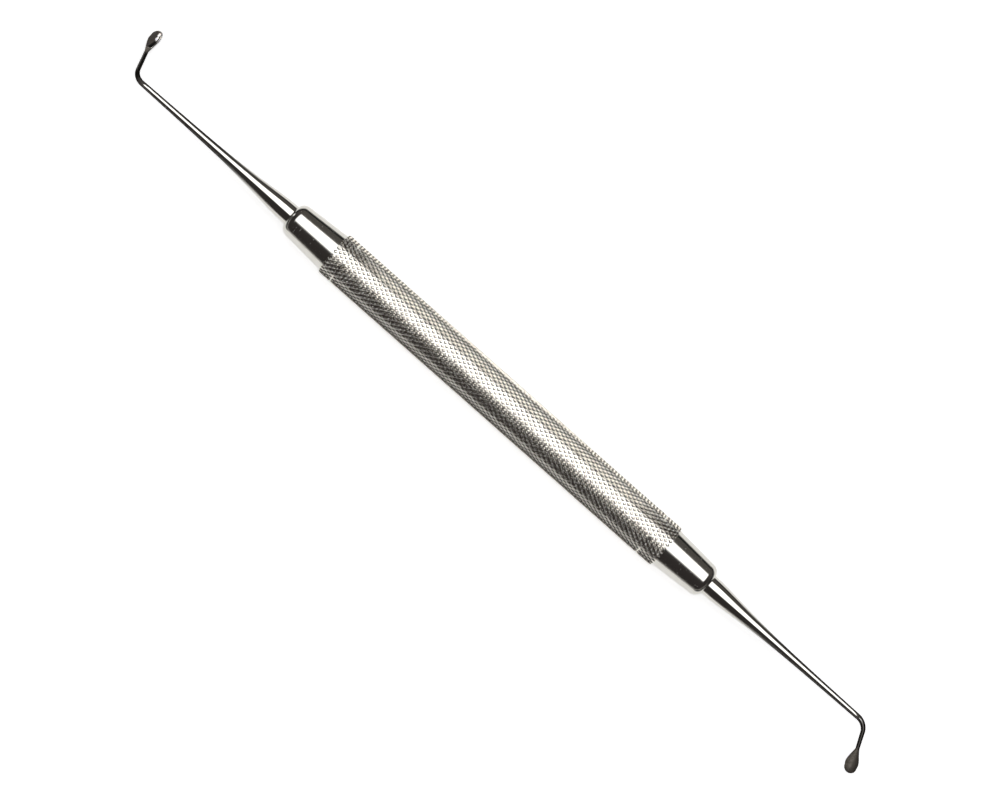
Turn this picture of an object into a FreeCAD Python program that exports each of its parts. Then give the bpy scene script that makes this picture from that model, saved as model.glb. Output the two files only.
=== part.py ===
import FreeCAD
import Part
import Sketcher
import math
import os
from FreeCAD import Placement, Rotation, Vector

# A double-ended dental spoon excavator. A hollow knurled handle carries a conical socket at
# each end, and each socket holds a working tip: a tapering shank, one bend, a neck and a spoon.
# The long axis is X, with the origin on it at the middle of the handle. The instrument lies as
# it comes to rest: on its handle and on the spoon of end b, rolled about X by rest_roll.
# Each socket and tip is drawn pointing along its own +X, with its bend turning towards -Y.
# Sizes are in millimetres and degrees.

SIZES = [
    ("handle_length", 72.0, "knurled length, face to face"),
    ("handle_dia", 8.0, "over the crests of the knurl"),
    ("handle_bore", 6.0, "inside of the hollow handle"),
    ("handle_edge", 0.15, "chamfer on the ends of the knurl"),
    ("ring_width", 0.3, "turned ring in the knurl, at the crests"),
    ("ring_floor", 0.22, "turned ring in the knurl, at its floor"),
    ("ring_depth", 0.2, "depth of the turned ring"),
    ("ring_inset_a", 3.2, "ring's middle to the handle's face at end a"),
    ("ring_inset_b", 2.5, "ring's middle to the handle's face at end b"),
    ("fit_gap", 0.01, "film of solder between a plug and its hole, on the radius"),
    ("spigot_length", 8.0, "the socket's plug inside the handle"),
    ("spigot_edge", 0.3, "chamfer on the plug's inner end"),
    ("cone_dia", 7.15, "socket where it meets the handle"),
    ("cone_length", 9.2, "socket, handle's face to mouth"),
    ("nose_reach", 7.8, "handle's face to the start of the rounded nose"),
    ("nose_dia", 6.05, "socket there"),
    ("nose_radius", 1.5, "rounding of the socket's nose"),
    ("mouth_dia", 3.96, "edge of the mouth's face"),
    ("mouth_edge", 0.08, "countersink round the shank"),
    ("seat_depth", 0.8, "counterbore that takes the shank's shoulder"),
    ("bore_depth", 10.5, "hole for the tang, from the mouth"),
    ("drill_point", 0.6, "depth of the hole's conical bottom"),
    ("tang_dia", 2.6, "part of the tip inside the socket"),
    ("tang_length", 10.0, "mouth to the tang's inner end"),
    ("tang_edge", 0.2, "chamfer on the tang's inner end"),
    ("shoulder_dia", 3.68, "shank at the mouth"),
    ("barrel_reach", 2.2, "mouth to the end of the shank's barrel"),
    ("barrel_dia", 3.53, "shank there"),
    ("flank_reach", 4.1, "mouth to the start of the taper"),
    ("flank_dia", 3.22, "shank there"),
    ("taper_reach", 7.9, "mouth to the taper's middle"),
    ("taper_dia", 2.45, "shank there"),
    ("throat_reach", 11.6, "mouth to the taper's last third"),
    ("throat_dia", 1.9, "shank there"),
    ("waist_reach", 16.0, "mouth to the end of the taper"),
    ("waist_dia", 1.5, "shank there"),
    ("wire_reach", 22.5, "mouth to the slender part's middle"),
    ("wire_dia", 1.21, "shank there"),
    ("shank_reach", 32.5, "mouth to the start of the bend"),
    ("shank_dia", 0.95, "shank at the start of the bend"),
    ("bend_angle_a", 71.5, "turn of the bend at end a, degrees"),
    ("bend_angle_b", 71.0, "turn of the bend at end b, degrees"),
    ("bend_radius", 2.25, "bend's centre line"),
    ("bend_dia", 0.74, "wire at the end of the bend"),
    ("neck_length_a", 3.05, "bend to the start of the spoon at end a"),
    ("neck_length_b", 3.65, "bend to the start of the spoon at end b"),
    ("neck_dia", 0.68, "neck where the spoon starts"),
    ("spoon_turn_a", 3.5, "further turn of the spoon on the neck at end a, degrees"),
    ("spoon_turn_b", 9.0, "further turn of the spoon on the neck at end b, degrees"),
    ("spoon_twist_a", 6.0, "twist of the spoon about its own length at end a, degrees"),
    ("spoon_twist_b", -28.0, "twist of the spoon about its own length at end b, degrees"),
    ("root_length", 0.5, "how far the flare runs back inside the neck"),
    ("root_width", 0.5, "across the flare's start, inside the neck"),
    ("root_depth", 0.3, "flare's start below the neck's axis"),
    ("flare_reach", 1.1, "start of the spoon to the middle of its flare"),
    ("flare_width", 1.52, "across the rim there"),
    ("flare_depth", 0.42, "back of the spoon below the neck's axis there"),
    ("belly_reach", 2.34, "start of the spoon to its widest part"),
    ("spoon_width", 2.24, "across the rim there"),
    ("spoon_depth", 0.46, "back of the spoon below the neck's axis there"),
    ("nose_start", 3.23, "start of the spoon to the middle of its round nose"),
    ("nose_width", 2.08, "across the rim there"),
    ("rim_height", 0.16, "rim above the neck's axis"),
    ("rim_wall", 0.11, "rim's width round the cup"),
    ("cup_depth", 0.37, "rim to the bottom of the cup"),
    ("cup_start", 0.75, "start of the spoon to the cup's narrow end"),
    ("lead_width", 0.34, "across the cup's narrow end at the rim"),
    ("lead_depth", 0.1, "rim to the bottom of the cup's narrow end"),
    ("ramp_reach", 1.3, "length of the slope that runs the neck down into the rim"),
    ("ramp_rise", 0.4, "slope's start above the neck's axis"),
    ("rest_roll", -24.77, "roll about X as it lies, degrees"),
    ("handle_turn", -1.7, "further turn of the handle about X, against the tips, degrees"),
]


def build_sheet(doc):
    """The spreadsheet with every driving size, in millimetres and degrees."""
    sheet = doc.addObject("Spreadsheet::Sheet", "Sizes")
    for row, (alias, number, note) in enumerate(SIZES, start=1):
        sheet.set(f"A{row}", note)
        sheet.set(f"B{row}", str(number))
        sheet.setAlias(f"B{row}", alias)
    doc.recompute()
    return sheet


def plain(doc, expression):
    """The number that an expression on the sheet stands for."""
    return float(doc.Sizes.evalExpression(expression))


def new_body(doc, name):
    body = doc.addObject("PartDesign::Body", name)
    body.Label = name
    return body


def plane_of(body, role):
    return next(f for f in body.Origin.OriginFeatures if f.Role == role)


def new_sketch(body, name, role="XY_Plane", offset=None):
    sketch = body.newObject("Sketcher::SketchObject", name)
    sketch.AttachmentSupport = [(plane_of(body, role), "")]
    sketch.MapMode = "FlatFace"
    if offset is not None:
        sketch.AttachmentOffset = offset
    return sketch


def bind(sketch, kind, places, expression):
    """A dimension of the sketch that follows an expression on the sheet."""
    number = plain(sketch.Document, expression)
    index = sketch.addConstraint(Sketcher.Constraint(kind, *places, number))
    sketch.setExpression(f"Constraints[{index}]", expression)


def pin_point(sketch, curve, end, x_text, y_text):
    """Ties one end of a curve to (x, y), each an expression on the sheet."""
    for kind, axis, text in (("DistanceX", -2, x_text), ("DistanceY", -1, y_text)):
        number = plain(sketch.Document, text)
        if abs(number) < 1e-9:
            sketch.addConstraint(Sketcher.Constraint("PointOnObject", curve, end, axis))
        elif number > 0:
            bind(sketch, kind, (-1, 1, curve, end), text)
        else:
            bind(sketch, kind, (curve, end, -1, 1), f"-({text})")


def ends_at(sketch, curve, point):
    """Which end of the curve, 1 or 2, lies at the point."""
    shape = sketch.Geometry[curve]
    near_start = (shape.StartPoint - point).Length
    near_end = (shape.EndPoint - point).Length
    return 1 if near_start < near_end else 2


def spot(doc, corner):
    """The point that a pair of expressions stands for."""
    return Vector(plain(doc, corner[0]), plain(doc, corner[1]), 0)


def draw_loop(sketch, corners, arcs=None, curves=None):
    """A closed outline through corners, each a pair of expressions on the sheet.

    arcs gives a middle point for each side that is an arc, and curves the points between for
    each side that is a smooth curve, both by the number of the side's first corner.
    """
    arcs = arcs or {}
    curves = curves or {}
    points = [spot(sketch.Document, corner) for corner in corners]
    count = len(points)
    for side in range(count):
        first, last = points[side], points[(side + 1) % count]
        if side in arcs:
            middle = arcs[side]
            if (middle - first).cross(last - middle).z < 0:
                first, last = last, first
            sketch.addGeometry(Part.Arc(first, middle, last))
        elif side in curves:
            curve = Part.BSplineCurve()
            curve.interpolate([first, *curves[side], last])
            sketch.addGeometry(curve)
        else:
            sketch.addGeometry(Part.LineSegment(first, last))
    for side in range(count):
        after = (side + 1) % count
        joint = points[after]
        here, there = ends_at(sketch, side, joint), ends_at(sketch, after, joint)
        sketch.addConstraint(Sketcher.Constraint("Coincident", side, here, after, there))
    for side in range(count):
        pin_point(sketch, side, ends_at(sketch, side, points[side]), *corners[side])


def spin(body, name, sketch, kind="PartDesign::Revolution"):
    """Turns a profile about the X axis, as a lathe would, or cuts with it."""
    turned = body.newObject(kind, name)
    turned.Profile = sketch
    turned.ReferenceAxis = (sketch, ["H_Axis"])
    turned.Angle = 360
    return turned


def ring_edges(feature, radius, places):
    """Names of the feature's circular edges about X with that radius, at those places along X."""
    names = []
    for number, edge in enumerate(feature.Shape.Edges, start=1):
        if not isinstance(edge.Curve, Part.Circle):
            continue
        centre = edge.Curve.Center
        on_axis = math.hypot(centre.y, centre.z) < 1e-6
        if on_axis and abs(edge.Curve.Radius - radius) < 1e-6:
            if any(abs(centre.x - place) < 1e-6 for place in places):
                names.append(f"Edge{number}")
    return names


def chamfer(body, name, base, edges, size_text):
    cut = body.newObject("PartDesign::Chamfer", name)
    cut.Base = (base, edges)
    cut.setExpression("Size", size_text)
    return cut


def build_handle(doc):
    """The hollow handle: a tube with a turned ring near each end and chamfered ends."""
    body = new_body(doc, "handle_tube")
    wall = new_sketch(body, "tube_wall")
    half, bore, crest = "Sizes.handle_length / 2", "Sizes.handle_bore / 2", "Sizes.handle_dia / 2"
    draw_loop(wall, [(f"-{half}", bore), (half, bore), (half, crest), (f"-{half}", crest)])
    tube = spin(body, "tube", wall)
    doc.recompute()
    reach = plain(doc, half)
    edges = ring_edges(tube, plain(doc, crest), (-reach, reach))
    chamfer(body, "tube_ends", tube, edges, "Sizes.handle_edge")
    doc.recompute()
    floor = f"{crest} - Sizes.ring_depth"
    above = f"{crest} + Sizes.ring_depth"
    flare = "(Sizes.ring_width - Sizes.ring_floor) / 2"
    for end, side in (("a", ""), ("b", "-")):
        middle = f"{side}({half} - Sizes.ring_inset_{end})"
        foot = "Sizes.ring_floor / 2"
        lip = f"({foot} + 2 * {flare})"
        section = new_sketch(body, f"ring_section_{end}")
        draw_loop(
            section,
            [
                (f"{middle} - {foot}", floor),
                (f"{middle} + {foot}", floor),
                (f"{middle} + {lip}", above),
                (f"{middle} - {lip}", above),
            ],
        )
        spin(body, f"ring_{end}", section, "PartDesign::Groove")
        doc.recompute()
    return body


def bulge(first, last, radius):
    """The middle of an arc of that radius from first to last, bulging to the left."""
    chord = last - first
    half = chord.Length / 2
    left = Vector(-chord.y, chord.x, 0).normalize()
    return (first + last) * 0.5 + left * (radius - math.sqrt(radius**2 - half**2))


def build_socket(doc, end):
    """A conical socket: its plug fills the handle's mouth, and its bore takes a tip's tang."""
    body = new_body(doc, f"cone_socket_{end}")
    section = new_sketch(body, f"socket_section_{end}")
    plug = "Sizes.handle_bore / 2 - Sizes.fit_gap"
    seat = "Sizes.shoulder_dia / 2 + Sizes.fit_gap"
    hole = "Sizes.tang_dia / 2 + Sizes.fit_gap"
    depth = "Sizes.cone_length - Sizes.bore_depth"
    shelf = "Sizes.cone_length - Sizes.seat_depth"
    corners = [
        ("-Sizes.spigot_length", "0"),
        ("-Sizes.spigot_length", plug),
        ("0", plug),
        ("0", "Sizes.cone_dia / 2"),
        ("Sizes.nose_reach", "Sizes.nose_dia / 2"),
        ("Sizes.cone_length", "Sizes.mouth_dia / 2"),
        ("Sizes.cone_length", f"{seat} + Sizes.mouth_edge"),
        ("Sizes.cone_length - Sizes.mouth_edge", seat),
        (shelf, seat),
        (shelf, hole),
        (depth, hole),
        (f"{depth} - Sizes.drill_point", "0"),
    ]
    nose = bulge(spot(doc, corners[4]), spot(doc, corners[5]), plain(doc, "Sizes.nose_radius"))
    draw_loop(section, corners, arcs={4: nose})
    bind(section, "Radius", (4,), "Sizes.nose_radius")
    blank = spin(body, f"socket_{end}", section)
    doc.recompute()
    back = -plain(doc, "Sizes.spigot_length")
    edges = ring_edges(blank, plain(doc, plug), (back,))
    chamfer(body, f"plug_end_{end}", blank, edges, "Sizes.spigot_edge")
    return body


def build_shank(doc, body, end):
    """The turned part of a tip: tang, shoulder and the long tapering shank."""
    section = new_sketch(body, f"shank_section_{end}")
    stations = ("barrel", "flank", "taper", "throat", "waist", "wire")
    between = [spot(doc, (f"Sizes.{s}_reach", f"Sizes.{s}_dia / 2")) for s in stations]
    inner = "-Sizes.tang_length"
    seat = "-Sizes.seat_depth"
    corners = [
        (inner, "0"),
        (inner, "Sizes.tang_dia / 2"),
        (seat, "Sizes.tang_dia / 2"),
        (seat, "Sizes.shoulder_dia / 2"),
        ("0", "Sizes.shoulder_dia / 2"),
        ("Sizes.shank_reach", "Sizes.shank_dia / 2"),
        ("Sizes.shank_reach", "0"),
    ]
    draw_loop(section, corners, curves={4: between})
    shank = spin(body, f"shank_{end}", section)
    doc.recompute()
    edges = ring_edges(shank, plain(doc, "Sizes.tang_dia / 2"), (plain(doc, inner),))
    chamfer(body, f"tang_end_{end}", shank, edges, "Sizes.tang_edge")
    doc.recompute()


class Stance:
    """A place on a tip: its origin, a heading at an angle from X in the XY plane, and an up.

    The up is Z for face 1 and -Z for face -1, twisted about the heading by degrees.
    """

    def __init__(self, origin, angle, face=1, twist=0):
        self.origin = origin
        self.heading = Vector(math.cos(angle), math.sin(angle), 0)
        self.up = Rotation(self.heading, twist).multVec(Vector(0, 0, face))

    def ahead(self, distance):
        """The point at that distance along the heading."""
        return self.origin + self.heading * distance

    def across(self, distance=0):
        """The plane across the heading at that distance, with its own Y up."""
        turned = Rotation(self.up.cross(self.heading), self.up, self.heading, "ZXY")
        return Placement(self.ahead(distance), turned)

    def along(self):
        """The upright plane along the heading, with its own X ahead and its own Y up."""
        turned = Rotation(self.heading, self.up, self.heading.cross(self.up), "XYZ")
        return Placement(self.origin, turned)


def circle_sketch(body, name, frame, dia_text):
    """A circle round the frame's origin, across its normal."""
    sketch = new_sketch(body, name, offset=frame)
    radius = plain(body.Document, dia_text) / 2
    sketch.addGeometry(Part.Circle(Vector(), Vector(0, 0, 1), radius))
    sketch.addConstraint(Sketcher.Constraint("Coincident", 0, 3, -1, 1))
    bind(sketch, "Diameter", (0,), dia_text)
    return sketch


def build_bend(doc, body, end, turn):
    """The bend and the straight neck after it. Gives back the neck's end."""
    reach, radius = plain(doc, "Sizes.shank_reach"), plain(doc, "Sizes.bend_radius")
    start = Vector(reach, 0, 0)
    centre = Vector(reach, -radius, 0)
    finish = centre + Vector(math.sin(turn), math.cos(turn), 0) * radius
    middle = centre + Vector(math.sin(turn / 2), math.cos(turn / 2), 0) * radius
    path = new_sketch(body, f"bend_path_{end}")
    path.addGeometry(Part.Arc(finish, middle, start))
    pin_point(path, 0, 2, "Sizes.shank_reach", "0")
    pin_point(path, 0, 3, "Sizes.shank_reach", "-Sizes.bend_radius")
    before, after = Stance(start, 0), Stance(finish, -turn)
    thick = circle_sketch(body, f"bend_start_{end}", before.across(), "Sizes.shank_dia")
    thin = circle_sketch(body, f"bend_end_{end}", after.across(), "Sizes.bend_dia")
    bend = body.newObject("PartDesign::AdditivePipe", f"bend_{end}")
    bend.Profile = thick
    bend.Spine = (path, ["Edge1"])
    bend.Transformation = "Multisection"
    bend.Sections = [thin]
    doc.recompute()
    length = plain(doc, f"Sizes.neck_length_{end}")
    last = circle_sketch(body, f"neck_end_{end}", after.across(length), "Sizes.neck_dia")
    neck = body.newObject("PartDesign::AdditiveLoft", f"neck_{end}")
    neck.Profile = thin
    neck.Sections = [last]
    doc.recompute()
    return after.ahead(length)


def bowl_section(body, name, frame, half_text, low_text, high_text):
    """An arc from rim to rim through the bowl's lowest point, closed by the line of the rim."""
    sketch = new_sketch(body, name, offset=frame)
    corners = [(f"-({half_text})", high_text), (half_text, high_text)]
    low = spot(sketch.Document, ("0", low_text))
    draw_loop(sketch, corners, arcs={1: low})
    bind(sketch, "Radius", (1,), f"(({half_text})^2 + ({high_text} - ({low_text}))^2)"
         f" / (2 * ({high_text} - ({low_text})))")
    return sketch


def half_bowl(body, name, frame, half_text, low_text, high_text):
    """Half of a bowl's section, from its axis out to the rim, to be turned about that axis."""
    doc = body.Document
    sketch = new_sketch(body, name, offset=frame)
    corners = [("0", low_text), (half_text, high_text), ("0", high_text)]
    half, depth = plain(doc, half_text), plain(doc, f"{high_text} - ({low_text})")
    radius = (half**2 + depth**2) / (2 * depth)
    middle = bulge(spot(doc, corners[1]), spot(doc, corners[0]), radius)
    draw_loop(sketch, corners, arcs={0: middle})
    return sketch


def loft(body, name, kind, sections):
    """A smooth skin through the sections, added to the body or cut from it."""
    skin = body.newObject(kind, name)
    skin.Profile = sections[0]
    skin.Sections = sections[1:]
    body.Document.recompute()
    return skin


def turned_bowl(body, name, kind, frame, degrees, sizes):
    """A round bowl turned about its own upright axis through the frame's origin."""
    profile = half_bowl(body, f"{name}_profile", frame, *sizes)
    bowl = body.newObject(kind, name)
    bowl.Profile = profile
    bowl.ReferenceAxis = (profile, ["V_Axis"])
    bowl.Angle = degrees
    bowl.Reversed = True
    body.Document.recompute()
    return bowl


def build_spoon(doc, body, end, stance):
    """The spoon: a flaring back with a round nose, a flat rim and a cup ground into it."""
    rim = "Sizes.rim_height"

    def skin(name, kind, rows):
        sections = []
        for number, (reach, half, low) in enumerate(rows, start=1):
            frame = stance.across(plain(doc, reach))
            label = f"{name}_{number}_{end}"
            sections.append(bowl_section(body, label, frame, half, low, rim))
        return loft(body, f"{name}_{end}", kind, sections)

    nose = ("Sizes.nose_width / 2", "-Sizes.spoon_depth", rim)
    rows = [
        ("-Sizes.root_length", "Sizes.root_width / 2", "-Sizes.root_depth"),
        ("Sizes.flare_reach", "Sizes.flare_width / 2", "-Sizes.flare_depth"),
        ("Sizes.belly_reach", "Sizes.spoon_width / 2", "-Sizes.spoon_depth"),
        ("Sizes.nose_start", *nose[:2]),
    ]
    skin("back", "PartDesign::AdditiveLoft", rows)
    middle = stance.across(plain(doc, "Sizes.nose_start"))
    turned_bowl(body, f"nose_{end}", "PartDesign::Revolution", middle, 180, nose)
    cut_ramp(doc, body, end, stance)
    floor = f"{rim} - Sizes.cup_depth"
    cup = ("Sizes.nose_width / 2 - Sizes.rim_wall", floor, rim)
    rows = [
        ("Sizes.cup_start", "Sizes.lead_width / 2", f"{rim} - Sizes.lead_depth"),
        ("Sizes.belly_reach", "Sizes.spoon_width / 2 - Sizes.rim_wall", floor),
        ("Sizes.nose_start", *cup[:2]),
    ]
    skin("trough", "PartDesign::SubtractiveLoft", rows)
    turned_bowl(body, f"cup_{end}", "PartDesign::Groove", middle, 360, cup)


def cut_ramp(doc, body, end, stance):
    """Slopes the top of the neck down to the plane of the rim."""
    sketch = new_sketch(body, f"ramp_section_{end}", offset=stance.along())
    top = "Sizes.spoon_width"
    corners = [
        ("-Sizes.ramp_reach", "Sizes.ramp_rise"),
        ("0", "Sizes.rim_height"),
        ("Sizes.root_length", "Sizes.rim_height"),
        ("Sizes.root_length", top),
        ("-Sizes.ramp_reach", top),
    ]
    draw_loop(sketch, corners)
    ramp = body.newObject("PartDesign::Pocket", f"ramp_{end}")
    ramp.Profile = sketch
    ramp.Midplane = True
    ramp.setExpression("Length", "Sizes.spoon_width * 2")
    doc.recompute()


def build_tip(doc, end, face):
    """A working tip in one piece. Its cup opens upwards for face 1 and downwards for -1."""
    body = new_body(doc, f"working_tip_{end}")
    build_shank(doc, body, end)
    turn = math.radians(plain(doc, f"Sizes.bend_angle_{end}"))
    further = math.radians(plain(doc, f"Sizes.spoon_turn_{end}"))
    root = build_bend(doc, body, end, turn)
    twist = plain(doc, f"Sizes.spoon_twist_{end}")
    build_spoon(doc, body, end, Stance(root, -turn - further, face, twist))
    return body


def set_down(doc, body, shift_text, heading, roll_text="Sizes.rest_roll"):
    """Puts a piece on the instrument's axis, facing along +X or -X, and rolls it to its rest."""
    roll = Rotation(Vector(1, 0, 0), plain(doc, roll_text))
    spot_on_axis = Vector(heading * plain(doc, shift_text), 0, 0)
    facing = Rotation(Vector(0, 0, 1), 0 if heading > 0 else 180)
    body.Placement = Placement(spot_on_axis, roll * facing)


def check(doc, body):
    """Stops the build if a feature failed or the piece isn't one sound solid."""
    for feature in body.Group:
        if "Invalid" in feature.State or "Error" in feature.State:
            raise RuntimeError(f"{feature.Name} failed")
    shape = body.Shape
    if shape.isNull() or not shape.isValid() or len(shape.Solids) != 1:
        raise RuntimeError(f"{body.Label} isn't one sound solid")


def main():
    doc = FreeCAD.newDocument("spoon_excavator")
    build_sheet(doc)
    handle = build_handle(doc)
    set_down(doc, handle, "0", 1, "Sizes.rest_roll + Sizes.handle_turn")
    pieces = [handle]
    for end, heading in (("a", 1), ("b", -1)):
        socket = build_socket(doc, end)
        tip = build_tip(doc, end, -heading)
        set_down(doc, socket, "Sizes.handle_length / 2", heading)
        set_down(doc, tip, "Sizes.handle_length / 2 + Sizes.cone_length", heading)
        pieces += [socket, tip]
    doc.recompute()
    os.makedirs("parts", exist_ok=True)
    for body in pieces:
        check(doc, body)
        body.Shape.exportStep(f"parts/{body.Label}.step")


main()
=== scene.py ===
import math
from collections import namedtuple
from functools import partial

import bmesh
import bpy
from mathutils import Matrix, Vector


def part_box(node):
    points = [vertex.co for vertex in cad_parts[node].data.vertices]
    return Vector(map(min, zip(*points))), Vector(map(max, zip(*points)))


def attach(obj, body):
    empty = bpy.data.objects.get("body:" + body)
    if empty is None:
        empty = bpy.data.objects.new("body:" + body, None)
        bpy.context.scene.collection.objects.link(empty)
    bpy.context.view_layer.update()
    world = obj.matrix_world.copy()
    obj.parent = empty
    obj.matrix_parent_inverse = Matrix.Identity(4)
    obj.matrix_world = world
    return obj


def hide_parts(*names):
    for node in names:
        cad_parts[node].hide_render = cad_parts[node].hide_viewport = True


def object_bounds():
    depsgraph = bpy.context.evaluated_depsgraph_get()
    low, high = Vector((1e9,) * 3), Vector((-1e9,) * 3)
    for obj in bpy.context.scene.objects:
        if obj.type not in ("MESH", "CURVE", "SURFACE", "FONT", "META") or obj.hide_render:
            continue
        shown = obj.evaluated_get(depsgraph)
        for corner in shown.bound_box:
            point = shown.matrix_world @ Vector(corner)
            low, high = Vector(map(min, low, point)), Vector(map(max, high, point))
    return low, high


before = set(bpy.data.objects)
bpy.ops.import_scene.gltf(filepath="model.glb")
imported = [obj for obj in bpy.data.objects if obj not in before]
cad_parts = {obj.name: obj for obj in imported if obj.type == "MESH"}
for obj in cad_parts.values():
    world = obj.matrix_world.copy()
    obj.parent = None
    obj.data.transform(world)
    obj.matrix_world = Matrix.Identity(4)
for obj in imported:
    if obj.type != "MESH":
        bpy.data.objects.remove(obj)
cad_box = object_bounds()

MM = 0.001

# Vertices closer than WELD become one, and closer than SAME_SPOT they count as in one place.
WELD = 0.002 * MM
SAME_SPOT = 0.001 * MM

# Vertices round a tip, and steps round a socket.
ROUND = 64
SOCKET_ROUND = 128

# The handle. Its ends are at equal distances along X from the origin.
_, HANDLE_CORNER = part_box("handle_tube")
HALF_HANDLE = HANDLE_CORNER[0]
CREST = HANDLE_CORNER[2]
BORE = 3.0 * MM
HANDLE_EDGE = 0.15 * MM
RING_WIDTH = 0.22 * MM
RING_DEPTH = 0.12 * MM
RING_INSETS = {"a": 3.2 * MM, "b": 2.5 * MM}
REST_ROLL = math.radians(-24.77)

# The diamond knurl, rolled by two wheels whose lines cross the axis at about 32 degrees. Each
# step of a pyramid is a run inwards and a rise. The spare rows lie past the handle's ends.
KNURL_STARTS = 32
KNURL_PITCH = 1.274 * MM
GROOVE_FLAT = 0.055 * MM
PYRAMID_STEPS = [(0.15 * MM, 0.15 * MM), (0.035 * MM, 0.02 * MM)]
KNURL_DEPTH = sum(rise for _, rise in PYRAMID_STEPS)
SPARE_ROWS = 4

# The conical socket: distances along it start at the handle's face. The nose's start and the
# mouth are given as distance and radius.
CONE_FOOT = 3.575 * MM
CONE_EDGE = 0.06 * MM
NOSE_START = (7.8 * MM, 3.025 * MM)
NOSE_RADIUS = 1.5 * MM
NOSE_STEPS = 14
MOUTH = (9.2 * MM, 1.98 * MM)
SEAT_RADIUS = 1.85 * MM
SEAT_EDGE = 0.08 * MM
SEAT_DEPTH = 0.8 * MM
TANG_HOLE = 1.31 * MM
BORE_DEPTH = 10.5 * MM
DRILL_POINT = 0.6 * MM
PLUG_RADIUS = 2.99 * MM
PLUG_LENGTH = 8.0 * MM
PLUG_EDGE = 0.3 * MM

# The shank's radius at distances from the socket's mouth, in millimetres.
SHANK = [(0.0, 1.84), (2.2, 1.765), (4.1, 1.61), (7.9, 1.225), (11.6, 0.95), (16.0, 0.75),
         (22.5, 0.605), (32.5, 0.475)]
SHANK_LENGTH, SHANK_END_RADIUS = SHANK[-1][0] * MM, SHANK[-1][1] * MM
TANG_LENGTH = 10.0 * MM
TANG_RADIUS = 1.3 * MM
TANG_EDGE = 0.2 * MM
BEND_RADIUS = 2.25 * MM
BEND_END_RADIUS = 0.37 * MM
NECK_LENGTHS = {"a": 3.05 * MM, "b": 3.65 * MM}
NECK_RADIUS = 0.34 * MM

# Turn of the bend, further turn of the spoon on the neck and twist of the spoon, in degrees.
TURNS = {"a": (71.5, 3.5, 6.0), "b": (71.0, 9.0, -28.0)}

# The side of the tip, up or down, to which the cup faces.
CUP_FACES = {"a": -1, "b": 1}

# The spoon: half widths and depths of its back at distances from where it starts, in
# millimetres, then the rim, the hollow of the cup and the ramp from the neck down to the rim.
SPOON_HALF = [(0.0, 0.335), (1.1, 0.76), (2.34, 1.12), (3.23, 1.04)]
SPOON_BACK = [(0.0, 0.345), (1.1, 0.42), (2.34, 0.46), (3.23, 0.46)]
NOSE_CENTRE = 3.23 * MM
NOSE_LEAST_HALF = 0.01 * MM
NOSE_LEAST_DEPTH = 0.002 * MM
RIM_HEIGHT = 0.16 * MM
RIM_WALL = 0.1 * MM
CUP_START = 0.62 * MM
CUP_FADE = 0.9 * MM
CUP_RADIUS = 1.55 * MM
CUP_LEAST_DEPTH = 0.003 * MM
CUP_LEAST_SHARE = 0.4
RAMP_REACH = 1.3 * MM
RAMP_RISE = 0.4 * MM

# Rings of vertices along each stretch of a tip.
SHANK_RINGS = 56
BEND_RINGS = 18
NECK_RINGS = 14
SPOON_RINGS = 30
NOSE_RINGS = 16

# A ring's point function gives (across, up) for a share from 0 to 1 of its upper or lower half.
Ring = namedtuple("Ring", "centre angle twist point in_cup")

# Colours of steel, each as it is and where it is worn.
KNURL_TINTS = (0.96, 0.94, 0.89, 1), (0.84, 0.81, 0.76, 1)
POLISH_TINTS = (0.84, 0.83, 0.79, 1), (0.80, 0.79, 0.75, 1)
SHANK_TINTS = (0.84, 0.83, 0.79, 1), (0.79, 0.78, 0.74, 1)
# Painted shade: the spoon's back and the neck are coloured far darker than steel, so that they
# reflect little light.
SATIN_SHADE_TINTS = (0.22, 0.20, 0.175, 1), (0.32, 0.29, 0.255, 1)
NECK_PAINTED_SHADE = (0.08, 0.075, 0.07, 1)
DUST = (0.85, 0.84, 0.80, 1)
STAIN_BLUE = (0.62, 0.58, 0.80, 1)
STAIN_PINK = (0.84, 0.66, 0.58, 1)
DENT_DEPTH = 0.05 * MM

WHITE = (1, 1, 1, 1)
BLACK = (0, 0, 0, 1)
SHEET_WHITE = (0.9, 0.9, 0.905, 1)
# Black of the sheet where it shows a painted dark reflection.
PAINTED_REFLECTION_BLACK = (0.02, 0.02, 0.02, 1)
# Warm glow of the handle's card, a painted reflection.
CARD_WARM = (1, 0.97, 0.9, 1)
# Dark glow of the cards over the spoons, a painted dark reflection.
DARK_REFLECTION_GLOW = (0.062, 0.056, 0.053, 1)


def smooth_through(points, place):
    """The height at a place of a smooth curve through points, all in millimetres."""
    place = min(max(place, points[0][0]), points[-1][0])
    last = len(points) - 2
    step = next((i for i in range(last + 1) if place <= points[i + 1][0]), last)
    (x0, y0), (x1, y1) = points[step], points[step + 1]

    def slope(i):
        before, after = points[max(i - 1, 0)], points[min(i + 1, last + 1)]
        return (after[1] - before[1]) / (after[0] - before[0])

    share = (place - x0) / (x1 - x0)
    lift = share * share * (3 - 2 * share)
    lean_in = share * (1 - share) ** 2 * slope(step)
    lean_out = share * share * (share - 1) * slope(step + 1)
    return y0 + (y1 - y0) * lift + (x1 - x0) * (lean_in + lean_out)


def towards(angle):
    """The direction in the XY plane at an angle from +X."""
    return Vector((math.cos(angle), math.sin(angle), 0))


def finish_mesh(bm, name, sharp_degrees):
    """A mesh object at the origin from a bmesh, with faces outwards and creases kept sharp."""
    bmesh.ops.recalc_face_normals(bm, faces=bm.faces)
    mesh = bpy.data.meshes.new(name)
    bm.to_mesh(mesh)
    bm.free()
    mesh.shade_smooth()
    mesh.set_sharp_from_angle(angle=math.radians(sharp_degrees))
    piece = bpy.data.objects.new(name, mesh)
    bpy.context.scene.collection.objects.link(piece)
    return piece


def wire_up(piece, node, material):
    """Rides a piece on the instrument in place of its plain solid, in its material."""
    piece.data.materials.append(material)
    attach(piece, "root")
    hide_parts(node)


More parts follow.
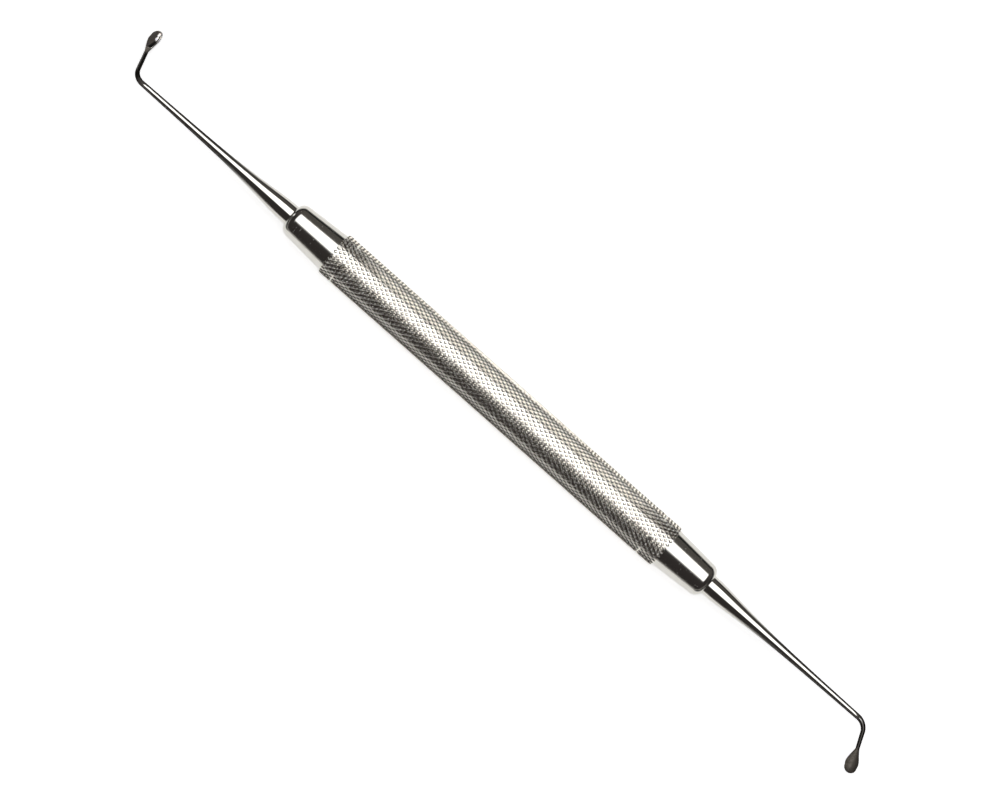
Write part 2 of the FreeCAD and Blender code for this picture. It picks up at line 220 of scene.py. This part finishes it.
def knurl_strip(bm):
    """A flat sheet of truncated pyramids, as long as the handle and as wide as its girth."""
    half_pitch = KNURL_PITCH / 2
    half_step = math.pi * (CREST - KNURL_DEPTH) / KNURL_STARTS
    rows = 2 * math.ceil(HALF_HANDLE / half_pitch) + KNURL_STARTS + SPARE_ROWS
    bmesh.ops.create_grid(bm, x_segments=rows, y_segments=KNURL_STARTS, size=0.5)
    lattice = Matrix.Diagonal((rows, KNURL_STARTS, 1, 1))
    shear = Matrix(((half_pitch, -half_pitch, 0, 0), (half_step, half_step, 0, 0),
                    (0, 0, 1, 0), (0, 0, 0, 1)))
    bmesh.ops.transform(bm, matrix=shear @ lattice, verts=bm.verts)
    tops = list(bm.faces)
    for run, rise in ((GROOVE_FLAT, 0.0), *PYRAMID_STEPS):
        bmesh.ops.inset_individual(bm, faces=tops, thickness=run, depth=rise,
                                   use_even_offset=True)


def cut_across(bm, place, keep_above):
    """Cuts a sheet across X and keeps one side."""
    bmesh.ops.bisect_plane(bm, geom=[*bm.verts, *bm.edges, *bm.faces], plane_co=(place, 0, 0),
                           plane_no=(1, 0, 0), clear_outer=not keep_above,
                           clear_inner=keep_above)


def wrap(bm, root, chamfers):
    """Rolls a sheet round X and breaks its edge at the places in chamfers."""
    for vert in bm.verts:
        turn = vert.co.y / root
        radius = root + vert.co.z
        for place in chamfers:
            radius = min(radius, CREST - HANDLE_EDGE + abs(vert.co.x - place))
        vert.co.y, vert.co.z = radius * math.sin(turn), radius * math.cos(turn)
    bmesh.ops.remove_doubles(bm, verts=bm.verts, dist=WELD)


def rim_edges(bm, place):
    """The open edges at a place along X."""
    return [e for e in bm.edges if e.is_boundary
            and all(abs(v.co.x - place) < SAME_SPOT for v in e.verts)]


def draw_in(bm, place, radius):
    """Closes the end of a sleeve inwards, down to a radius."""
    grown = bmesh.ops.extrude_edge_only(bm, edges=rim_edges(bm, place))["geom"]
    for vert in (g for g in grown if isinstance(g, bmesh.types.BMVert)):
        across = Vector((0, vert.co.y, vert.co.z)).normalized() * radius
        vert.co.y, vert.co.z = across.y, across.z


def knurled_sleeve(low, high):
    """A knurled stretch of the handle as a mesh, with its ends drawn in to the bore or a ring."""
    bm = bmesh.new()
    knurl_strip(bm)
    cut_across(bm, low, True)
    cut_across(bm, high, False)
    wrap(bm, CREST - KNURL_DEPTH, [end for end in (low, high) if abs(end) == HALF_HANDLE])
    for end in (low, high):
        draw_in(bm, end, BORE if abs(end) == HALF_HANDLE else CREST - RING_DEPTH)
    sleeve = bpy.data.meshes.new("sleeve")
    bm.to_mesh(sleeve)
    bm.free()
    return sleeve


def knurled_handle(material):
    """The handle: three knurled sleeves, two turned rings between them and the bore inside."""
    ring_a, ring_b = HALF_HANDLE - RING_INSETS["a"], RING_INSETS["b"] - HALF_HANDLE
    half_ring = RING_WIDTH / 2
    spans = [(-HALF_HANDLE, ring_b - half_ring), (ring_b + half_ring, ring_a - half_ring),
             (ring_a + half_ring, HALF_HANDLE)]
    whole = bmesh.new()
    for low, high in spans:
        sleeve = knurled_sleeve(low, high)
        whole.from_mesh(sleeve)
        bpy.data.meshes.remove(sleeve)
    for low, high in ((spans[0][1], spans[1][0]), (spans[1][1], spans[2][0]),
                      (-HALF_HANDLE, HALF_HANDLE)):
        bmesh.ops.bridge_loops(whole, edges=rim_edges(whole, low) + rim_edges(whole, high))
    handle = finish_mesh(whole, "knurled_handle", sharp_degrees=20)
    wire_up(handle, "handle_tube", material)


def arc_points(first, last, radius, steps):
    """Points after first up to last on an arc of that radius that bulges outwards."""
    first, last = Vector(first), Vector(last)
    chord = last - first
    outwards = Vector((-chord.y, chord.x)).normalized()
    centre = (first + last) / 2 - outwards * math.sqrt(radius**2 - (chord.length / 2) ** 2)
    start = math.atan2(first.y - centre.y, first.x - centre.x)
    finish = math.atan2(last.y - centre.y, last.x - centre.x)
    angles = [start + (finish - start) * i / steps for i in range(1, steps + 1)]
    return [(centre.x + radius * math.cos(t), centre.y + radius * math.sin(t)) for t in angles]


def turn_on_lathe(profile, steps):
    """A bmesh turned about X from a profile of (along, radius) points that ends on the axis."""
    bm = bmesh.new()
    verts = [bm.verts.new((along, 0, radius)) for along, radius in profile]
    edges = [bm.edges.new(pair) for pair in zip(verts, verts[1:])]
    bmesh.ops.spin(bm, geom=verts + edges, cent=(0, 0, 0), axis=(1, 0, 0),
                   angle=math.tau, steps=steps, use_merge=True)
    bmesh.ops.remove_doubles(bm, verts=bm.verts, dist=WELD)
    return bm


def stand_at_end(bm, end, distance):
    """Moves a piece drawn along its own +X out to its end of the handle, rolled to its rest."""
    facing = Matrix.Identity(4) if end == "a" else Matrix.Rotation(math.pi, 4, "Z")
    roll = Matrix.Rotation(REST_ROLL, 4, "X")
    side = 1 if end == "a" else -1
    bmesh.ops.transform(bm, verts=bm.verts,
                        matrix=Matrix.Translation((side * distance, 0, 0)) @ roll @ facing)


def cone_socket(end, material):
    """A polished conical socket with its plug in the handle and its bore for the tang."""
    shelf, bore_end = MOUTH[0] - SEAT_DEPTH, MOUTH[0] - BORE_DEPTH
    profile = [
        (-PLUG_LENGTH, 0),
        (-PLUG_LENGTH, PLUG_RADIUS - PLUG_EDGE),
        (-PLUG_LENGTH + PLUG_EDGE, PLUG_RADIUS),
        (0, PLUG_RADIUS),
        (0, CONE_FOOT - CONE_EDGE),
        (CONE_EDGE, CONE_FOOT),
        NOSE_START,
        *arc_points(NOSE_START, MOUTH, NOSE_RADIUS, NOSE_STEPS),
        (MOUTH[0], SEAT_RADIUS + SEAT_EDGE),
        (MOUTH[0] - SEAT_EDGE, SEAT_RADIUS),
        (shelf, SEAT_RADIUS),
        (shelf, TANG_HOLE),
        (bore_end, TANG_HOLE),
        (bore_end - DRILL_POINT, 0),
    ]
    bm = turn_on_lathe(profile, SOCKET_ROUND)
    stand_at_end(bm, end, HALF_HANDLE)
    socket = finish_mesh(bm, f"conical_socket_{end}", sharp_degrees=25)
    wire_up(socket, f"cone_socket_{end}", material)


def bowl_arc(half, depth, share):
    """A point on the arc from rim to rim through the bowl's bottom, as (across, down)."""
    radius = (half**2 + depth**2) / (2 * depth)
    reach = math.acos(max(-1.0, min(1.0, (radius - depth) / radius)))
    angle = reach * (2 * share - 1)
    return radius * math.sin(angle), radius * math.cos(angle) - (radius - depth)


def spoon_measures(reach):
    """Half width and depth of the spoon, then of its cup, at a distance along it."""
    half = smooth_through(SPOON_HALF, reach / MM) * MM
    depth = RIM_HEIGHT + smooth_through(SPOON_BACK, reach / MM) * MM
    cup_half = max(half - RIM_WALL, 0.0)
    fade = min(max((reach - CUP_START) / CUP_FADE, 0.0), 1.0)
    cup = (CUP_RADIUS - math.sqrt(CUP_RADIUS**2 - cup_half**2)) * fade * (2 - fade)
    past = reach - NOSE_CENTRE
    if past > 0:
        radius = (half**2 + depth**2) / (2 * depth)
        depth = max(math.sqrt(radius**2 - past**2) - (radius - depth), NOSE_LEAST_DEPTH)
        cup_radius = (cup_half**2 + cup**2) / (2 * cup)
        cup = max(math.sqrt(cup_radius**2 - past**2) - (cup_radius - cup), 0.0)
        cup_half = math.sqrt(max(cup_half**2 - past**2, 0.0))
        half = math.sqrt(max(half**2 - past**2, NOSE_LEAST_HALF**2))
        cup_half = max(cup_half, half * CUP_LEAST_SHARE)
    return half, depth, cup_half, cup


def spoon_section(reach, share, upper):
    """A point of the spoon's section as (across, up), going round by share from 0 to 1."""
    half, depth, cup_half, cup = spoon_measures(reach)
    if not upper:
        across, down = bowl_arc(half, depth, share)
        return across, RIM_HEIGHT - down
    if share in (0.0, 1.0):
        return (half if share == 0.0 else -half), RIM_HEIGHT
    rim_step = 2 / ROUND
    inner = (share - rim_step) / (1 - 2 * rim_step)
    if cup < CUP_LEAST_DEPTH:
        return cup_half * (1 - 2 * inner), RIM_HEIGHT
    across, down = bowl_arc(cup_half, cup, 1 - inner)
    return across, RIM_HEIGHT - down


def round_ring(centre, angle, radius, lid=None, twist=0.0):
    """A round ring of a tip, cut flat above lid where one is given."""
    def point(share, upper):
        around = math.pi * (share if upper else 1 + share)
        across, up = radius * math.cos(around), radius * math.sin(around)
        return across, (up if lid is None else min(up, lid))
    return Ring(centre, angle, twist, point, False)


def shank_rings():
    """Rings along the tang and the straight shank."""
    stops = [(-TANG_LENGTH, TANG_RADIUS - TANG_EDGE), (-TANG_LENGTH + TANG_EDGE, TANG_RADIUS),
             (-SEAT_DEPTH, TANG_RADIUS), (-SEAT_DEPTH, SHANK[0][1] * MM)]
    for i in range(SHANK_RINGS):
        along = SHANK_LENGTH * i / SHANK_RINGS
        stops.append((along, smooth_through(SHANK, along / MM) * MM))
    return [round_ring(Vector((along, 0, 0)), 0, radius) for along, radius in stops]


def bend_rings(turn):
    """Rings round the bend, through its whole turn towards -Y."""
    rings = []
    for i in range(BEND_RINGS + 1):
        share = i / BEND_RINGS
        angle = turn * share
        centre = Vector((SHANK_LENGTH + BEND_RADIUS * math.sin(angle),
                         -BEND_RADIUS * (1 - math.cos(angle)), 0))
        radius = SHANK_END_RADIUS + (BEND_END_RADIUS - SHANK_END_RADIUS) * share
        rings.append(round_ring(centre, -angle, radius))
    return rings


def neck_rings(start, angle, length, twist):
    """Rings along the neck, which takes up the twist and slopes down to the spoon's rim."""
    rings = []
    for i in range(1, NECK_RINGS):
        share = i / NECK_RINGS
        along = length * share
        radius = BEND_END_RADIUS + (NECK_RADIUS - BEND_END_RADIUS) * share
        lid = RIM_HEIGHT + (RAMP_RISE - RIM_HEIGHT) * (length - along) / RAMP_REACH
        rings.append(round_ring(start + towards(angle) * along, angle, radius, lid,
                                twist * share))
    return rings


def spoon_rings(start, angle, twist):
    """Rings along the spoon, closer together towards the end of its nose."""
    nose_half = SPOON_HALF[-1][1] * MM
    reaches = [NOSE_CENTRE * i / SPOON_RINGS for i in range(SPOON_RINGS)]
    reaches += [NOSE_CENTRE + nose_half * math.sin(math.pi / 2 * i / NOSE_RINGS)
                for i in range(NOSE_RINGS + 1)]
    return [Ring(start + towards(angle) * reach, angle, twist, partial(spoon_section, reach),
                 reach > CUP_START) for reach in reaches]


def tip_rings(end):
    """All the rings of a tip, from its tang to the nose of its spoon."""
    turn, further, twist = (math.radians(t) for t in TURNS[end])
    bend = bend_rings(turn)
    neck_start, neck_length = bend[-1].centre, NECK_LENGTHS[end]
    spoon_start = neck_start + towards(-turn) * neck_length
    return [*shank_rings(), *bend, *neck_rings(neck_start, -turn, neck_length, twist),
            *spoon_rings(spoon_start, -turn - further, twist)]


def shape_ring(verts, layers, ring, cup_faces, travelled):
    """Moves a loop of vertices to a ring of the tip and writes how far along it lies."""
    place, travel, cup = layers
    heading = towards(ring.angle)
    up = Matrix.Rotation(ring.twist, 3, heading) @ Vector((0, 0, cup_faces))
    side = up.cross(heading)
    for vert in verts:
        turn = vert[place] / (ROUND // 2)
        upper = turn < 1
        across, height = ring.point(turn if upper else turn - 1, upper)
        vert.co = ring.centre + side * across + up * height
        vert[travel] = travelled / MM
        vert[cup] = 1.0 if ring.in_cup and 0.0 < turn < 1.0 else 0.0


def working_tip(end, material):
    """A tip in one piece, grown ring by ring from its tang to the nose of its spoon."""
    bm = bmesh.new()
    numbers = bm.verts.layers.int.new("place")
    layers = (numbers, bm.verts.layers.float.new("travel"), bm.verts.layers.float.new("cup"))
    verts = bmesh.ops.create_circle(bm, segments=ROUND, radius=1)["verts"]
    for number, vert in enumerate(verts):
        vert[numbers] = number
    first, *others = tip_rings(end)
    shape_ring(verts, layers, first, CUP_FACES[end], 0.0)
    bottom = edges = list(bm.edges)
    travelled, before = 0.0, first.centre
    for ring in others:
        grown = bmesh.ops.extrude_edge_only(bm, edges=edges)["geom"]
        verts = [g for g in grown if isinstance(g, bmesh.types.BMVert)]
        edges = [g for g in grown if isinstance(g, bmesh.types.BMEdge)]
        travelled += (ring.centre - before).length
        before = ring.centre
        shape_ring(verts, layers, ring, CUP_FACES[end], travelled)
    bmesh.ops.contextual_create(bm, geom=bottom)
    bmesh.ops.contextual_create(bm, geom=edges)
    bmesh.ops.remove_doubles(bm, verts=bm.verts, dist=SAME_SPOT)
    stand_at_end(bm, end, HALF_HANDLE + MOUTH[0])
    tip = finish_mesh(bm, f"bent_tip_{end}", sharp_degrees=50)
    wire_up(tip, f"working_tip_{end}", material)


class Signal:
    """A shader socket that takes part in sums as a number does."""

    def __init__(self, tree, socket):
        self.tree = tree
        self.socket = socket

    def work(self, operation, first, second):
        return self.tree.add("ShaderNodeMath", {"operation": operation}, {0: first, 1: second})

    def __add__(self, other):
        return self.work("ADD", self, other)

    def __sub__(self, other):
        return self.work("SUBTRACT", self, other)

    def __rsub__(self, other):
        return self.work("SUBTRACT", other, self)

    def __mul__(self, other):
        return self.work("MULTIPLY", self, other)

    def __abs__(self):
        return self.work("ABSOLUTE", self, 0.0)

    def rise(self, low, high):
        """Smoothly from 0 at low to 1 at high."""
        return self.tree.add("ShaderNodeMapRange", {"interpolation_type": "SMOOTHSTEP"},
                             {"Value": self, "From Min": low, "From Max": high})


class Nodes:
    """The node tree of a material or of the world, with one method that adds any node."""

    def __init__(self, tree):
        self.tree = tree

    def add(self, kind, settings=None, values=None, output=0):
        node = self.tree.nodes.new(kind)
        for key, value in (settings or {}).items():
            setattr(node, key, value)
        for key, value in (values or {}).items():
            self.feed(node.inputs[key], value)
        return Signal(self, node.outputs[output])

    def feed(self, socket, value):
        if isinstance(value, Signal):
            self.tree.links.new(value.socket, socket)
        else:
            socket.default_value = value

    def mix(self, share, first, second):
        """A colour between two, by a share from 0 to 1."""
        return self.add("ShaderNodeMix", {"data_type": "RGBA"}, {0: share, 6: first, 7: second}, 2)

    def parts(self, vector):
        """The X, Y and Z of a vector."""
        split = self.add("ShaderNodeSeparateXYZ", {}, {0: vector}).socket.node
        return [Signal(self, socket) for socket in split.outputs]


class Finish(Nodes):
    """A material and its shader."""

    def __init__(self, name):
        self.material = bpy.data.materials.new(name)
        self.material.use_nodes = True
        super().__init__(self.material.node_tree)
        self.shader = self.tree.nodes["Principled BSDF"]

    def set(self, **values):
        for name, value in values.items():
            self.feed(self.shader.inputs[name.replace("_", " ")], value)

    def place(self):
        return self.add("ShaderNodeTexCoord", output="Object")

    def own(self, name):
        """The value of one of the mesh's own attributes."""
        return self.add("ShaderNodeAttribute", {"attribute_name": name}, output="Fac")

    def noise(self, scale, detail=2.0):
        values = {"Vector": self.place(), "Scale": scale, "Detail": detail}
        return self.add("ShaderNodeTexNoise", {}, values, "Fac")

    def dents(self, height, strength):
        """Normals of a surface with small dents."""
        return self.add("ShaderNodeBump", {}, {"Strength": strength, "Distance": DENT_DEPTH,
                                               "Height": height})

    def specks(self, scale, size, rarity):
        """1 inside small round specks, one in so many cells of a pattern, and 0 elsewhere."""
        cell = {"Vector": self.place(), "Scale": scale}
        spot = self.add("ShaderNodeTexVoronoi", {}, cell, "Distance")
        draw = self.parts(self.add("ShaderNodeTexVoronoi", {}, cell, "Color"))[0]
        return (1 - spot.rise(size * 0.6, size)) * draw.rise(rarity, rarity + 0.01)


def steel(name, tints, roughness):
    """Stainless steel with a faint cloudiness in colour and polish, and a little dust."""
    finish = Finish(name)
    cloud = finish.noise(700.0, 3.0)
    dust = finish.specks(2600.0, size=0.16, rarity=0.78)
    metal = finish.mix(cloud.rise(0.35, 0.7), *tints)
    finish.set(Base_Color=finish.mix(dust, metal, DUST), Metallic=1 - dust,
               Roughness=cloud * 0.05 + (roughness - 0.02) + dust * 0.4)
    return finish


def knurled_steel():
    """Bright steel with the small dents that knurling wheels leave."""
    finish = steel("bright_knurled_steel", KNURL_TINTS, 0.11)
    finish.set(Normal=finish.dents(finish.noise(5200.0), 0.5))
    return finish.material


def polished_steel():
    """Steel polished to a mirror."""
    return steel("mirror_polished_steel", POLISH_TINTS, 0.14).material


def tip_steel():
    """Polished along the shank, dull from the bend on with painted shade darkening the neck and
    the spoon's back, and uneven in the cup.
    """
    finish = Finish("tip_steel")
    travel, cup = finish.own("travel"), finish.own("cup")
    cloud = finish.noise(900.0, 3.0)
    grind = finish.noise(5200.0)
    stain = finish.noise(2600.0, 1.0)
    bend_start = (TANG_LENGTH + SHANK_LENGTH) / MM
    dull = travel.rise(bend_start - 0.4, bend_start + 1.6) * (1 - cup)
    back = travel.rise(bend_start + 5.4, bend_start + 6.4) * (1 - cup)
    bright = finish.mix(cloud.rise(0.35, 0.7), *SHANK_TINTS)
    satin_shade = finish.mix(grind.rise(0.3, 0.7), *SATIN_SHADE_TINTS)
    # Painted shade: from the bend on, outside the cup, the neck and then the spoon's back take a
    # colour far darker than steel.
    dark = finish.mix(back, NECK_PAINTED_SHADE, satin_shade)
    blue = finish.mix(stain.rise(0.62, 0.72) * cup, finish.mix(dull, bright, dark), STAIN_BLUE)
    pink = finish.mix((1 - stain).rise(0.62, 0.72) * cup, blue, STAIN_PINK)
    finish.set(Base_Color=pink, Metallic=1.0, Normal=finish.dents(grind, cup * 0.35),
               Roughness=cloud * 0.05 + 0.04 + dull * 0.10 + back * 0.4)
    return finish.material


def lay_square(name, finish, half_width, matrix):
    """A flat square that isn't part of the instrument, moved and stretched by a matrix."""
    bm = bmesh.new()
    bmesh.ops.create_grid(bm, x_segments=1, y_segments=1, size=half_width)
    bmesh.ops.transform(bm, verts=bm.verts, matrix=matrix)
    mesh = bpy.data.meshes.new(name)
    bm.to_mesh(mesh)
    bm.free()
    mesh.materials.append(finish.material)
    square = bpy.data.objects.new(name, mesh)
    bpy.context.scene.collection.objects.link(square)
    return square


def lay_floor():
    """A plain white sheet that the instrument lies on.

    The steel reflects it pale along the handle and the sockets. Past them and beside the sockets
    it is painted black for reflections only, a painted dark reflection that keeps the edges crisp.
    """
    finish = Finish("white_sheet")
    eye = finish.add("ShaderNodeLightPath", output="Is Camera Ray")
    metal = finish.add("ShaderNodeLightPath", output="Is Glossy Ray")
    along, across, _ = finish.parts(finish.place())
    # Painted dark reflection: past the tips and beside the sockets the sheet is black to glossy
    # rays.
    beside_tip = abs(along).rise(0.050, 0.064)
    beside_socket = abs(along).rise(0.034, 0.038) * across.rise(0.014, 0.026)
    shown = metal * ((1 - beside_tip) * (1 - beside_socket))
    finish.set(Base_Color=finish.mix(metal - shown, SHEET_WHITE, PAINTED_REFLECTION_BLACK), Roughness=0.9,
               Specular_IOR_Level=0.0,
               Emission_Color=finish.mix(eye, (1, 0.98, 0.93, 1), WHITE),
               Emission_Strength=eye * 0.74 + shown * 0.43)
    lay_square("white_sheet", finish, 1.5, Matrix.Translation((0, 0, cad_box[0].z)))


def hang_card(name, place, turn, half_sizes, colour, strength=1.0):
    """A glowing card that only the steel's reflections see: a painted reflection that lights
    nothing and casts no shadow.
    """
    finish = Finish(name)
    finish.set(Base_Color=BLACK, Specular_IOR_Level=0.0, Emission_Color=colour,
               Emission_Strength=strength)
    matrix = Matrix.Translation(place) @ turn @ Matrix.Diagonal((*half_sizes, 1, 1))
    card = lay_square(name, finish, 1, matrix)
    card.visible_camera = False
    card.visible_diffuse = False
    card.visible_shadow = False


def hang_cards():
    """Painted reflections: a pale card beside the handle, dark ones over the spoons and a white
    one that puts a highlight in a cup.
    """
    leaning = Matrix.Rotation(math.radians(64), 4, "X")
    # Painted pale reflection: the knurl shows this card, which lights nothing.
    hang_card("handle_reflection_card", (0, 0.036, 0.016), leaning, (0.032, 0.017), CARD_WARM, 1.3)
    # Painted dark reflections: dark cards over the spoons, seen only in reflections, so the spoons
    # don't show the softbox.
    dark_card_height = 0.012
    for side in (-1, 1):
        for x, y, half_sizes in ((0.1097, 0.008, (0.03, 0.045)), (0.0697, 0.0385, (0.01, 0.022))):
            hang_card("spoon_dark_reflection", (side * x, y, dark_card_height), Matrix.Identity(4), half_sizes,
                      DARK_REFLECTION_GLOW)
    # Painted highlight: a white card upright beside a cup, seen only in its reflection.
    upright = Matrix.Rotation(math.radians(90), 4, "Y")
    hang_card("cup_highlight_card", (-0.098, 0.0087, cad_box[0].z + 0.0066), upright, (0.0066, 0.0050),
              WHITE, 1.3)


def hang_softbox():
    """A soft panel overhead towards +Y, long across the handle, that fades at its edges."""
    height = 0.9
    fade_width = height * 0.22
    reach = height * math.tan(math.radians(33))
    near, far = (height * math.tan(math.radians(angle)) for angle in (-13, 50))
    finish = Finish("softbox")
    along, across, _ = finish.parts(finish.place())
    fade = 1 - abs(along).rise(reach * 0.65, reach)
    fade = fade * across.rise(near, near + fade_width)
    fade = fade * (1 - across.rise(far - fade_width, far))
    finish.set(Base_Color=BLACK, Emission_Color=WHITE, Emission_Strength=fade * 1.8)
    place = Matrix.Translation((0, (far + near) / 2, height))
    facing_down = Matrix.Diagonal((reach, (far - near) / 2, -1, 1))
    panel = lay_square("softbox", finish, 1, place @ facing_down)
    panel.visible_camera = False


def light_room():
    """A dim room, white to the eye, with a pale strip low down on the -Y side."""
    world = bpy.data.worlds.new("studio")
    bpy.context.scene.world = world
    world.use_nodes = True
    room = Nodes(world.node_tree)
    eye = room.add("ShaderNodeLightPath", output="Is Camera Ray")
    _, north, up = room.parts(room.add("ShaderNodeTexCoord", output="Generated"))
    glow = (1 - up.rise(0.0, 0.09)) * (1 - north.rise(-0.3, 0.1))
    dark = room.mix(north.rise(0.0, 0.9), (0.030, 0.026, 0.025, 1), (0.075, 0.068, 0.062, 1))
    seen = room.mix(glow, dark, (0.72, 0.70, 0.66, 1))
    background = room.tree.nodes["Background"]
    room.feed(background.inputs["Color"], room.mix(eye, seen, WHITE))


def set_camera():
    """Straight down on the instrument, which slants down to the right as in the photograph."""
    picture_pixels, pixels_per_metre = 1000, 6150.0
    camera = bpy.data.cameras.new("camera")
    camera.lens = 100.0
    camera.clip_start = 0.01
    distance = picture_pixels / pixels_per_metre * camera.lens / camera.sensor_width
    eye = bpy.data.objects.new("camera", camera)
    eye.location = (0, 0, distance)
    eye.rotation_euler = (0, 0, math.radians(41.5))
    bpy.context.scene.collection.objects.link(eye)
    bpy.context.scene.camera = eye


knurled_handle(knurled_steel())
socket_finish = polished_steel()
tip_finish = tip_steel()
for end in ("a", "b"):
    cone_socket(end, socket_finish)
    working_tip(end, tip_finish)
lay_floor()
light_room()
hang_softbox()
hang_cards()
set_camera()
bpy.context.scene.view_settings.view_transform = "Standard"
